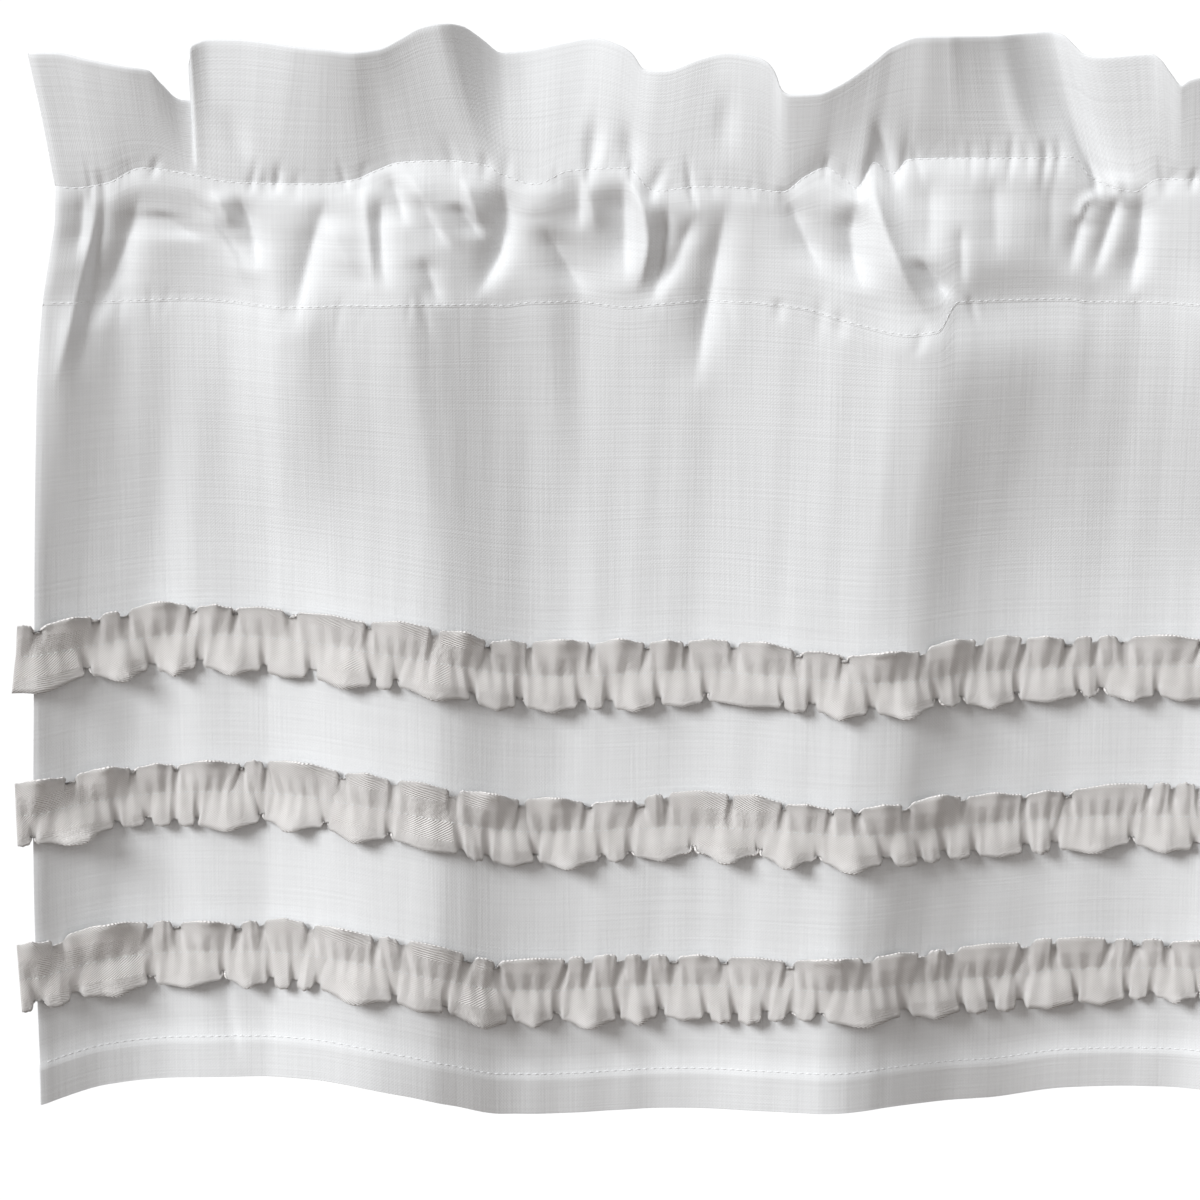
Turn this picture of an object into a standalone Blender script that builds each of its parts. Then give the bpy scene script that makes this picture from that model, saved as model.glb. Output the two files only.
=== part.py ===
"""A window valance of white cotton, gathered on a rod pocket, with three rows of ruffled tape.

The cloth hangs in the X-Z plane: +X to the right as seen from the room, +Z up, and the room at -Y.
The origin is the middle of the header's top edge. Distances in the tables are millimetres:
"across" from the left end, "down" from the top edge and "forward" towards the room.
"""
import bpy
import bmesh
import numpy as np

MM = 0.001

# Driving dimensions in millimetres
WIDTH = 1040.0
DROP = 388.0
SEAM = 46.0
POCKET_FOOT = 93.0
GATHERS_END = 200.0
HEM_STITCH = 373.0
CLOTH = 1.8
HEM_CLOTH = 3.0
DOUBLE_CLOTH = 3.0
PIECE_GAP = 0.5

TAPE_WIDTH = 30.0
TAPE_THICK = 1.1
TAPE_OVERHANG = 6.0
TAPE_ROWS = {"trim_upper": 225.0, "trim_middle": 282.0, "trim_lower": 341.0}
RUFFLE_PITCH = 23.0
RUFFLE_STRAY = 0.9
RUFFLE_STRAY_PITCH = 88.0
RUFFLE_LAG = 0.6
RUFFLE_NEAREST = 1.6
RUFFLE_HEIGHT = 5.5
TAPE_CENTRE_OFF = 0.6

# How far the right half's folds stray from a mirror image of the left half's
RIGHT_STRAY = 13.0
RIGHT_STRENGTH = 0.9

# How far the ends draw in: down, and the distance inwards, which fades over this width
END_FADE = 40.0
END_DRAW = np.array((
    (46.0, 8.5),
    (61.0, 8.0),
    (75.0, 6.0),
    (93.0, 3.0),
    (130.0, 0.0),
    (224.0, -2.8),
    (310.0, -4.6),
    (388.0, -1.8),
))

HEADING_COLUMNS = 94
PANEL_COLUMNS = 84
HEADER_ROWS = (0.0, 14.0, 30.0)
POCKET_ROWS = (48.5, 53.0, 61.0, 70.0, 78.0, 86.0)
PANEL_ROWS = (98.0, 135.0, 180.0, 225.0, 253.0, 282.0, 311.0, 341.0)
HEM_STEP = 1.0

# Header: place along the seam, then across, forward and height of the free top edge
HEADER_EDGE = np.array((
    (0.0, 0.4, 8.0, -4.1),
    (11.0, 9.5, 9.2, -4.0),
    (22.0, 20.5, 10.7, -6.2),
    (33.0, 31.0, 11.2, -8.0),
    (44.0, 45.0, 8.4, -13.2),
    (55.3, 56.3, 3.4, -21.2),
    (66.4, 59.0, 4.4, -1.2),
    (77.4, 76.5, 7.0, 0.1),
    (89.0, 94.0, 12.8, -1.6),
    (100.0, 103.0, 14.2, -2.3),
    (117.0, 114.0, 14.4, -3.3),
    (127.0, 122.5, 12.8, -2.4),
    (137.0, 130.5, 10.8, 1.3),
    (147.0, 137.0, 10.0, 4.8),
    (153.0, 143.0, 9.6, 6.0),
    (157.0, 146.5, 8.0, 5.9),
    (161.0, 151.6, 2.6, 4.5),
    (164.5, 158.3, -2.6, -0.5),
    (168.0, 165.0, -4.8, -5.7),
    (175.0, 174.5, -5.8, -4.8),
    (184.0, 186.0, -5.4, -2.3),
    (195.0, 197.5, -4.0, -0.3),
    (204.0, 207.0, -1.4, -2.8),
    (208.0, 211.0, -0.4, -5.4),
    (213.0, 215.5, 0.9, -10.9),
    (219.0, 221.5, 2.2, -11.2),
    (232.0, 235.0, 3.4, -6.7),
    (243.0, 244.5, 5.0, -4.4),
    (254.0, 254.5, 7.8, -5.7),
    (258.0, 258.0, 9.0, -7.3),
    (261.5, 261.0, 9.8, -11.0),
    (264.0, 263.2, 10.3, -16.9),
    (267.0, 266.0, 10.8, -18.4),
    (274.0, 275.5, 11.6, -17.9),
    (280.0, 283.0, 12.2, -14.8),
    (288.5, 293.7, 13.0, -7.4),
    (298.0, 301.7, 13.6, -1.0),
    (311.0, 311.0, 14.4, 2.2),
    (324.0, 320.6, 14.0, 2.1),
    (332.0, 326.0, 11.6, 1.9),
    (348.0, 340.0, 4.6, 1.4),
    (361.0, 350.0, -0.8, 1.5),
    (370.0, 358.0, -2.8, 1.9),
    (374.0, 362.0, -1.4, 1.0),
    (377.0, 366.3, 0.4, -2.9),
    (379.5, 369.0, 1.6, -5.3),
    (384.0, 374.5, 3.6, -6.1),
    (394.0, 392.0, 6.0, -4.7),
    (398.0, 395.3, 7.2, -6.5),
    (401.5, 399.8, 8.2, -12.3),
    (404.0, 402.6, 8.6, -15.5),
    (406.5, 405.0, 8.6, -13.7),
    (411.0, 410.0, 8.4, -12.2),
    (430.0, 430.0, 12.0, -2.0),
    (448.0, 448.0, 13.0, 0.0),
    (462.0, 461.0, 5.0, -7.0),
    (472.0, 472.0, 0.0, -12.0),
    (488.0, 488.0, 2.0, -6.0),
    (504.0, 504.0, 8.0, -1.0),
    (520.0, 520.0, 5.0, 0.0),
))

# Rod pocket, front and back layers: down, forward, and the share that each takes of the folds
# at the pocket's foot
POCKET_FRONT = np.array((
    (46.0, 1.5, 0.05),
    (48.5, 8.0, 0.10),
    (53.0, 16.0, 0.12),
    (61.0, 19.5, 0.20),
    (70.0, 18.5, 0.25),
    (78.0, 13.5, 0.45),
    (86.0, 6.0, 0.80),
    (93.0, 0.0, 1.00),
))
POCKET_BACK = np.array((
    (46.0, -1.5, 0.05),
    (48.5, -7.0, 0.00),
    (53.0, -13.0, 0.00),
    (61.0, -16.5, 0.00),
    (70.0, -15.5, 0.10),
    (78.0, -12.0, 0.15),
    (86.0, -8.0, 0.55),
    (93.0, -3.0, 1.00),
))

# Skirt folds, a row for each crest, trough or bend that runs down the cloth:
# across and forward at the pocket's foot, where the gathers end, and at the hem
SKIRT_FOLDS = np.array((
    (0.0, 5.0, 0.0, 4.4, 0.0, 6.4),
    (8.0, 4.5, 6.5, 0.6, 6.5, 1.6),
    (21.0, -0.2, 21.0, -5.6, 21.0, -6.0),
    (34.0, -3.0, 35.0, -9.6, 33.0, -9.8),
    (44.0, -3.2, 43.0, -10.3, 42.0, -10.3),
    (58.0, -2.6, 56.0, -9.0, 56.0, -9.4),
    (66.0, -1.2, 66.0, -9.1, 66.0, -8.6),
    (78.0, 4.2, 79.0, -8.0, 77.0, -8.0),
    (88.0, 8.6, 86.0, -6.2, 85.0, -6.0),
    (96.0, 9.6, 94.0, -4.0, 94.0, -3.4),
    (104.0, 8.8, 107.0, 0.2, 107.0, 0.7),
    (113.0, 9.6, 121.0, 3.6, 121.0, 3.8),
    (131.0, 12.2, 141.0, 6.0, 138.0, 5.4),
    (141.0, 9.8, 149.5, 4.6, 148.0, 3.2),
    (152.0, 6.4, 157.0, 2.2, 156.0, 0.3),
    (162.0, 3.8, 166.0, -0.3, 165.0, -2.9),
    (172.0, 2.4, 178.0, -2.9, 179.0, -5.5),
    (181.0, 1.9, 188.0, -3.5, 197.0, -7.6),
    (193.0, -0.8, 200.0, -2.8, 210.0, -8.5),
    (207.0, 0.2, 213.0, -2.9, 220.0, -9.0),
    (222.0, 1.2, 228.0, -3.2, 230.0, -8.4),
    (239.0, 1.0, 243.0, -2.0, 243.0, -7.2),
    (257.0, 2.4, 257.0, -0.4, 257.0, -5.2),
    (289.0, 7.5, 285.0, 3.6, 273.0, -2.6),
    (310.0, 11.3, 300.0, 4.8, 282.0, -1.6),
    (319.0, 12.0, 308.0, 4.1, 289.0, -2.6),
    (328.0, 11.0, 315.0, 2.2, 297.0, -5.6),
    (337.0, 9.0, 322.0, -0.6, 305.0, -9.5),
    (350.0, 5.5, 332.0, -4.7, 318.0, -14.0),
    (358.0, 4.0, 343.0, -7.8, 334.0, -17.8),
    (368.0, 2.8, 357.0, -9.5, 352.0, -20.0),
    (377.0, 1.2, 372.0, -10.6, 370.0, -21.0),
    (386.0, 1.0, 386.0, -11.3, 386.0, -20.5),
    (400.0, 2.6, 400.0, -11.3, 400.0, -19.0),
    (415.0, 6.0, 415.0, -10.3, 415.0, -16.5),
    (440.0, 9.0, 440.0, -2.0, 440.0, -8.0),
    (455.0, 4.0, 455.0, 4.0, 455.0, 0.0),
    (470.0, 6.0, 468.0, 8.0, 466.0, 6.0),
    (485.0, 8.0, 480.0, 7.0, 478.0, 6.0),
    (497.0, 1.0, 495.0, -2.0, 494.0, -3.0),
    (520.0, -3.0, 520.0, -9.0, 520.0, -10.0),
))

# Where the cloth hangs lower than level: across, and how far where the gathers end and at the hem
SAG = np.array((
    (0.0, -5.8, -0.8),
    (21.0, -7.6, -5.0),
    (57.0, -10.5, -6.9),
    (93.0, -8.9, -7.8),
    (128.0, -5.2, -3.6),
    (146.0, -2.5, 0.8),
    (164.0, 1.5, 6.0),
    (184.0, 3.6, 6.9),
    (236.0, 1.6, 5.3),
    (300.0, 4.8, 5.0),
    (343.0, 2.9, 4.8),
    (372.0, 2.6, 1.7),
    (415.0, 2.2, 0.3),
    (470.0, -1.0, 1.5),
    (520.0, 0.5, 0.0),
))

# Main creases and ridges of the pocket: down to its top and foot, across at its top, middle and
# foot, how wide it is to the left and to the right, and how far forward it stands
PUCKERS = (
    (50.0, 104.0, 37.0, 27.0, 16.0, 6.0, 8.0, -5.0),
    (46.0, 130.0, 21.0, 14.0, 6.5, 5.0, 5.0, 3.0),
    (48.0, 92.0, 68.0, 75.0, 77.0, 5.0, 5.5, -5.0),
    (46.0, 106.0, 104.0, 95.0, 90.0, 5.5, 6.0, -5.0),
    (44.0, 90.0, 124.0, 124.0, 127.0, 5.0, 5.0, -4.0),
    (44.0, 98.0, 163.0, 164.0, 153.0, 5.0, 5.5, -6.0),
    (44.0, 92.0, 206.0, 207.0, 205.0, 6.0, 5.5, -6.0),
    (44.0, 94.0, 209.0, 219.0, 214.0, 5.0, 5.0, 4.0),
    (48.0, 98.0, 244.0, 242.0, 232.0, 5.0, 5.5, -5.0),
    (48.0, 90.0, 263.0, 270.0, 278.0, 5.0, 5.5, -5.0),
    (50.0, 95.0, 289.0, 287.0, 292.0, 5.0, 7.0, -6.0),
    (44.0, 104.0, 297.0, 304.0, 318.0, 9.0, 5.5, 4.0),
    (44.0, 80.0, 336.0, 337.0, 338.0, 6.0, 6.0, -3.0),
    (56.0, 80.0, 371.0, 366.0, 363.0, 5.0, 5.0, -4.0),
    (46.0, 98.0, 389.0, 388.0, 384.0, 5.0, 5.5, -5.0),
    (46.0, 98.0, 432.0, 430.0, 424.0, 6.0, 6.0, -5.0),
    (46.0, 96.0, 458.0, 462.0, 460.0, 6.0, 5.5, -5.0),
    (46.0, 96.0, 492.0, 496.0, 500.0, 6.0, 6.0, -5.0),
)
PUCKER_RISE = 0.15
PUCKER_FALL = 0.5

# The back layer's gathers: shallow waves of uneven pitch that die out at both seams
BACK_PITCH = 38.0
BACK_STRAY = 0.9
BACK_STRAY_PITCH = 173.0
BACK_WAVE = 2.4

PAINT = {
    "heading": (0.83, 0.85, 0.87, 1.0),
    "panel": (0.83, 0.85, 0.87, 1.0),
    "trim_upper": (0.78, 0.74, 0.72, 1.0),
    "trim_middle": (0.78, 0.74, 0.72, 1.0),
    "trim_lower": (0.78, 0.74, 0.72, 1.0),
}
CLOTH_ROUGHNESS = 0.9


def clear_scene():
    """Removes the objects that a new file opens with."""
    for thing in list(bpy.data.objects):
        bpy.data.objects.remove(thing, do_unlink=True)


def ease(share):
    """0 to 1 with a level start and end."""
    share = np.clip(share, 0.0, 1.0)
    return share * share * (3.0 - 2.0 * share)


def smooth(at, knots, values):
    """A soft curve through the knots that never overshoots them and ends level."""
    step = np.diff(knots)
    slope = np.diff(values) / step
    before, after = slope[:-1], slope[1:]
    same_way = before * after > 0.0
    tangent = np.zeros(len(knots))
    tangent[0] = slope[0]
    tangent[1:-1] = np.divide(2.0 * before * after, before + after,
                              out=np.zeros(len(before)), where=same_way)
    cell = np.clip(np.searchsorted(knots, at, side="right") - 1, 0, len(knots) - 2)
    share = np.clip((at - knots[cell]) / step[cell], 0.0, 1.0)
    rise = ease(share)
    lead = share * (1.0 - share) ** 2 * step[cell] * tangent[cell]
    trail = share * share * (share - 1.0) * step[cell] * tangent[cell + 1]
    return values[cell] * (1.0 - rise) + values[cell + 1] * rise + lead + trail


def left_half(across):
    """The place in the left half whose folds stand here, and which side this is (1 or -1)."""
    side = np.where(across > WIDTH / 2, -1.0, 1.0)
    mirrored = WIDTH - across
    mirrored = mirrored + RIGHT_STRAY * np.sin(2.0 * np.pi * mirrored / WIDTH)
    return np.where(side > 0, across, mirrored), side


def fold_depth(across, down):
    """Forward reach of the skirt's folds at one level."""
    pocket, middle, hem = SKIRT_FOLDS[:, 0:2], SKIRT_FOLDS[:, 2:4], SKIRT_FOLDS[:, 4:6]
    if down < GATHERS_END:
        share = ease((down - POCKET_FOOT) / (GATHERS_END - POCKET_FOOT))
        level = pocket * (1.0 - share) + middle * share
    else:
        share = ease((down - GATHERS_END) / (DROP - GATHERS_END))
        level = middle * (1.0 - share) + hem * share
    return smooth(across, level[:, 0], level[:, 1])


def pucker_depth(across, down):
    """Forward reach of the pocket's creases and ridges at one level."""
    depth = np.zeros(len(across))
    for top, foot, at_top, at_middle, at_foot, left, right, forward in PUCKERS:
        share = (down - top) / (foot - top)
        if not 0.0 < share < 1.0:
            continue
        path = (at_top * (1.0 - share) * (1.0 - 2.0 * share) + at_middle * 4.0 * share * (1.0 - share)
                + at_foot * share * (2.0 * share - 1.0))
        offset = across - path
        reach = np.where(offset < 0.0, left, right)
        strength = ease(share / PUCKER_RISE) * ease((1.0 - share) / PUCKER_FALL)
        depth += forward * strength * np.exp(-(offset / reach) ** 2)
    return depth


def back_gathers(across, down):
    """Forward reach of the waves in the pocket's back layer at one level."""
    turn = across / BACK_PITCH + BACK_STRAY * np.sin(2.0 * np.pi * across / BACK_STRAY_PITCH)
    strength = np.sin(np.pi * (down - SEAM) / (POCKET_FOOT - SEAM))
    return BACK_WAVE * strength * np.sin(2.0 * np.pi * turn)


def drawn_in(place, down):
    """How far the cloth's end moves inwards at one level."""
    distance = smooth(np.array([down]), END_DRAW[:, 0], END_DRAW[:, 1])[0]
    return distance * np.clip(1.0 - place / END_FADE, 0.0, 1.0)


def header_point(across, down):
    """The header's front face: across, forward and height, straight lines from seam to top edge."""
    place, side = left_half(across)
    up = 1.0 - down / SEAM
    edge = [smooth(place, HEADER_EDGE[:, 0], HEADER_EDGE[:, column]) for column in (1, 2, 3)]
    seam_forward = POCKET_FRONT[0, 1] + POCKET_FRONT[0, 2] * fold_depth(place, POCKET_FOOT)
    shift = (edge[0] - place) * up + drawn_in(place, SEAM) * (1.0 - up)
    forward = seam_forward * (1.0 - up) + edge[1] * up + pucker_depth(place, down)
    return across + side * shift, forward, -SEAM + (SEAM + edge[2]) * up


def pocket_point(across, down, layer):
    """One layer of the rod pocket at one level."""
    place, side = left_half(across)
    level = np.array([down])
    forward = smooth(level, layer[:, 0], layer[:, 1])[0]
    share = smooth(level, layer[:, 0], layer[:, 2])[0]
    depth = forward + share * fold_depth(place, POCKET_FOOT)
    if layer is POCKET_FRONT:
        depth = depth + pucker_depth(place, down)
    else:
        depth = depth + back_gathers(across, down)
    return across + side * drawn_in(place, down), depth, np.full(len(across), -down)


def skirt_point(across, down):
    """The skirt's front face at one level."""
    place, side = left_half(across)
    strength = np.where(side > 0, 1.0, RIGHT_STRENGTH + (1.0 - RIGHT_STRENGTH) * place / (WIDTH / 2))
    depth = strength * (fold_depth(place, down) + pucker_depth(place, down))
    upper, lower = (smooth(place, SAG[:, 0], SAG[:, column]) for column in (1, 2))
    if down < GATHERS_END:
        sag = upper * ease((down - POCKET_FOOT) / (GATHERS_END - POCKET_FOOT))
    else:
        sag = upper + (lower - upper) * (down - GATHERS_END) / (DROP - GATHERS_END)
    return across + side * drawn_in(place, down), depth, -down - sag


def to_world(point):
    """Metres in the part's frame, from across, forward and height."""
    across, forward, height = point
    return np.stack((across - WIDTH / 2, -forward, height), axis=-1) * MM


def material(name):
    """Matt cloth in the piece's colour."""
    made = bpy.data.materials.new(name)
    made.use_nodes = True
    shader = made.node_tree.nodes["Principled BSDF"]
    shader.inputs["Base Color"].default_value = PAINT[name]
    shader.inputs["Roughness"].default_value = CLOTH_ROUGHNESS
    shader.inputs["Metallic"].default_value = 0.0
    return made


def add_object(name, mesh, collection):
    """A named object with its own material, in the valance's collection."""
    made = bpy.data.objects.new(name, mesh)
    made.data.materials.append(material(name))
    collection.objects.link(made)
    return made


def sheet_mesh(name, points):
    """A grid of the given size whose points are moved to rows of places in space."""
    rows, columns = points.shape[:2]
    grid = bmesh.new()
    bmesh.ops.create_grid(grid, x_segments=columns - 1, y_segments=rows - 1, size=1.0)
    grid.verts.ensure_lookup_table()
    for index, place in enumerate(points.reshape(-1, 3)):
        grid.verts[index].co = place
    mesh = bpy.data.meshes.new(name)
    grid.to_mesh(mesh)
    grid.free()
    mesh.shade_smooth()
    return mesh


def thicken(sheet, thickness, group=None, least=1.0):
    """Gives an open sheet its thickness towards the wall."""
    solid = sheet.modifiers.new("cloth", "SOLIDIFY")
    solid.thickness = thickness * MM
    solid.offset = 1.0
    if group:
        solid.vertex_group = group
        solid.thickness_vertex_group = least


def add_heading(collection):
    """Header ruffle and rod pocket: one loft, with the pocket's tunnel open at both ends."""
    across = np.linspace(0.0, WIDTH, HEADING_COLUMNS + 1)
    front = [to_world(header_point(across, down)) for down in HEADER_ROWS]
    back = [row + np.array((0.0, DOUBLE_CLOTH * MM, 0.0)) for row in front]
    seam_row = len(front)
    for down in (SEAM,) + POCKET_ROWS + (POCKET_FOOT,):
        front.append(to_world(pocket_point(across, down, POCKET_FRONT)))
        back.append(to_world(pocket_point(across, down, POCKET_BACK)))
    last_row = len(front) - 1
    inner_rows = range(seam_row + 1, last_row)

    def inside(layer, row, turn):
        """The layer's inner face: its points moved into the tunnel, square to the cloth."""
        along = layer[row + 1] - layer[row - 1]
        inward = np.stack((np.zeros(len(across)), -along[:, 2], along[:, 1]), axis=-1) * turn
        inward /= np.linalg.norm(inward, axis=1)[:, None]
        return layer[row] + inward * CLOTH * MM

    loft = bmesh.new()

    def verts(rows):
        return [[loft.verts.new(place) for place in row] for row in rows]

    outer_front, outer_back = verts(front), verts(back)
    inner_front = dict(zip(inner_rows, verts([inside(front, row, 1.0) for row in inner_rows])))
    inner_back = dict(zip(inner_rows, verts([inside(back, row, -1.0) for row in inner_rows])))

    def band(upper, lower):
        """Faces between two rows of points, row to row."""
        for column in range(len(across) - 1):
            loft.faces.new((upper[column], lower[column], lower[column + 1], upper[column + 1]))

    for row in range(last_row):
        band(outer_front[row], outer_front[row + 1])
        band(outer_back[row + 1], outer_back[row])
    band(outer_back[0], outer_front[0])
    band(outer_front[last_row], outer_back[last_row])
    first, final = inner_rows[0], inner_rows[-1]
    for row in inner_rows[:-1]:
        band(inner_front[row + 1], inner_front[row])
        band(inner_back[row], inner_back[row + 1])
    band(inner_front[first], inner_back[first])
    band(inner_back[final], inner_front[final])

    for column, turn in ((0, 1), (len(across) - 1, -1)):
        def cap(*corners):
            loft.faces.new([corner[column] for corner in corners][::turn])
        for row in range(seam_row):
            cap(outer_front[row], outer_back[row], outer_back[row + 1], outer_front[row + 1])
        cap(outer_front[seam_row], inner_front[first], outer_front[first])
        cap(outer_front[seam_row], outer_back[seam_row], inner_back[first], inner_front[first])
        cap(outer_back[seam_row], outer_back[first], inner_back[first])
        for row in inner_rows[:-1]:
            cap(outer_front[row], inner_front[row], inner_front[row + 1], outer_front[row + 1])
            cap(inner_back[row], outer_back[row], outer_back[row + 1], inner_back[row + 1])
        cap(outer_front[final], inner_front[final], outer_front[last_row])
        cap(inner_front[final], inner_back[final], outer_back[last_row], outer_front[last_row])
        cap(inner_back[final], outer_back[final], outer_back[last_row])

    mesh = bpy.data.meshes.new("heading")
    loft.to_mesh(mesh)
    loft.free()
    mesh.shade_smooth()
    add_object("heading", mesh, collection)


def panel_levels():
    """The panel's rows, from just under the pocket to the hem's edge."""
    return (POCKET_FOOT + PIECE_GAP,) + PANEL_ROWS + (HEM_STITCH, HEM_STITCH + HEM_STEP, DROP)


def panel_points():
    """The panel's front face as rows of points in space."""
    across = np.linspace(0.0, WIDTH, PANEL_COLUMNS + 1)
    return np.array([to_world(skirt_point(across, down)) for down in panel_levels()])


def add_panel(collection):
    """The skirt, with a hem of doubled cloth."""
    points = panel_points()
    panel = add_object("panel", sheet_mesh("panel", points), collection)
    hem = panel.vertex_groups.new(name="hem")
    hem_start = (len(points) - 2) * points.shape[1]
    hem.add(list(range(hem_start, len(panel.data.vertices))), 1.0, "REPLACE")
    thicken(panel, HEM_CLOTH, "hem", CLOTH / HEM_CLOTH)


def add_tape(name, collection):
    """One ruffled tape, sewn along its middle to the panel's front face."""
    points = panel_points()
    levels = np.array(panel_levels())
    centre = TAPE_ROWS[name]
    column = np.arange(2 * PANEL_COLUMNS + 1) / 2.0
    whole = np.minimum(column.astype(int), PANEL_COLUMNS - 1)
    part = (column - whole)[:, None]
    across = column * WIDTH / PANEL_COLUMNS
    order = list(TAPE_ROWS).index(name)
    turn = 2.0 * np.pi * across / RUFFLE_PITCH + order
    turn += RUFFLE_STRAY * np.sin(2.0 * np.pi * across / RUFFLE_STRAY_PITCH + order)
    rows = []
    for side in (-1.0, 0.0, 1.0):
        down = centre + side * TAPE_WIDTH / 2
        row = int(np.searchsorted(levels, down) - 1)
        share = (down - levels[row]) / (levels[row + 1] - levels[row])
        level = points[row] * (1.0 - share) + points[row + 1] * share
        seat = level[whole] * (1.0 - part) + level[whole + 1] * part
        along = np.gradient(seat, axis=0)
        outward = np.stack((along[:, 1], -along[:, 0], np.zeros(len(along))), axis=-1)
        outward /= np.linalg.norm(outward, axis=1)[:, None]
        if side == 0.0:
            off = np.full(len(across), TAPE_CENTRE_OFF)
        else:
            off = RUFFLE_NEAREST + RUFFLE_HEIGHT * (0.5 + 0.5 * np.sin(turn + RUFFLE_LAG * side))
        seat = seat + outward * ((off + TAPE_THICK) * MM)[:, None]
        beyond = TAPE_OVERHANG / (across[1] - across[0])
        start = seat[0] + (seat[0] - seat[1]) * beyond
        end = seat[-1] + (seat[-1] - seat[-2]) * beyond
        rows.append(np.vstack((start, seat, end)))
    tape = add_object(name, sheet_mesh(name, np.array(rows)), collection)
    thicken(tape, TAPE_THICK)


def main():
    """Builds the valance."""
    clear_scene()
    collection = bpy.data.collections.new("window_valance")
    bpy.context.scene.collection.children.link(collection)
    add_heading(collection)
    add_panel(collection)
    for name in TAPE_ROWS:
        add_tape(name, collection)


main()
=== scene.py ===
"""The gathered window valance with its finished cloth, ruffled tapes, stitches, light and camera.

The tables and surface functions follow the folds of the solids, drawn much finer. Distances in
them are millimetres: "across" from the left end, "down" from the top edge, "forward" to the room.
"""

import math

import bpy
import numpy as np
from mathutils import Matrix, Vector


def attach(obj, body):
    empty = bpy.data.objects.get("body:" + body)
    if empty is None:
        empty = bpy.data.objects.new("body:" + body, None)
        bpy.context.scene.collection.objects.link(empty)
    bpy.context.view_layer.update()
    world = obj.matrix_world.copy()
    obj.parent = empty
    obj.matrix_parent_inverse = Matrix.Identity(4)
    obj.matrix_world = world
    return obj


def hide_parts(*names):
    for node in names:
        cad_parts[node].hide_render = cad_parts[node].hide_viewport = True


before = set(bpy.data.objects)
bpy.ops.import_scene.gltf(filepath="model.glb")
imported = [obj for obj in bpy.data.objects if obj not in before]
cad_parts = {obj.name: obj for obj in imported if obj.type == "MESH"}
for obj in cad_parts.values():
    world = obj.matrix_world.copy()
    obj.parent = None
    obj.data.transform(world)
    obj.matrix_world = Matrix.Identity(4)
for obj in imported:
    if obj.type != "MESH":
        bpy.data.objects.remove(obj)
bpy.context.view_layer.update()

MM = 0.001
TURN = 2.0 * math.pi

# The hung cloth: its width and drop, and how far down its stitch lines and gathers lie
WIDTH = 1040.0
DROP = 388.0
SEAM = 46.0
POCKET_FOOT = 93.0
GATHERS_END = 200.0
HEM_STITCH = 373.0

# How thick the cloth and the turned hem are, and how far apart the header's two layers lie
CLOTH = 0.6
HEM_CLOTH = 1.2
LAYER_GAP = 1.4

# Rows down each piece. A first row or column this narrow keeps the shading even up to an edge
HEADER_ROWS = 30
FRONT_ROWS = 44
BACK_ROWS = 19
GATHER_ROWS = 22
SKIRT_ROWS = 32
CLOSE_ROWS_END = 125.0
HEM_ROWS = (373.9, 376.0, 380.0, 384.0)
EDGE_ROW = 0.12

# The skirt starts behind the pocket's foot and comes level with it at this place down
SKIRT_TOP = 91.5
SKIRT_BEHIND = 0.12
BEHIND_END = 96.0
POCKET_TURN_DROP = 0.4

# The hem's turned cloth stands proud, and its stitches pull it in
HEM_PROUD = 0.45
STITCH_PULL = 0.2

# Columns across the cloth, closer together where the photograph shows it
SHOWN_TO = 445.0
FINE_COLUMN = 0.95
COARSE_COLUMN = 2.3

# The right half repeats the left half's folds the other way round, strayed and less deep
RIGHT_STRAY = 13.0
RIGHT_STRENGTH = 0.9

# How far the ends draw in, which fades over a width: down, and the distance inwards
END_FADE = 40.0
END_DRAW = np.array((
    (46.0, 8.5),
    (61.0, 8.0),
    (75.0, 6.0),
    (93.0, 3.0),
    (130.0, 0.0),
    (224.0, -2.8),
    (310.0, -4.6),
    (388.0, -3.6),
))

# The side hems roll back over this width, by this much
END_ROLL_WIDTH = 3.2
END_ROLL = 0.7

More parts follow.
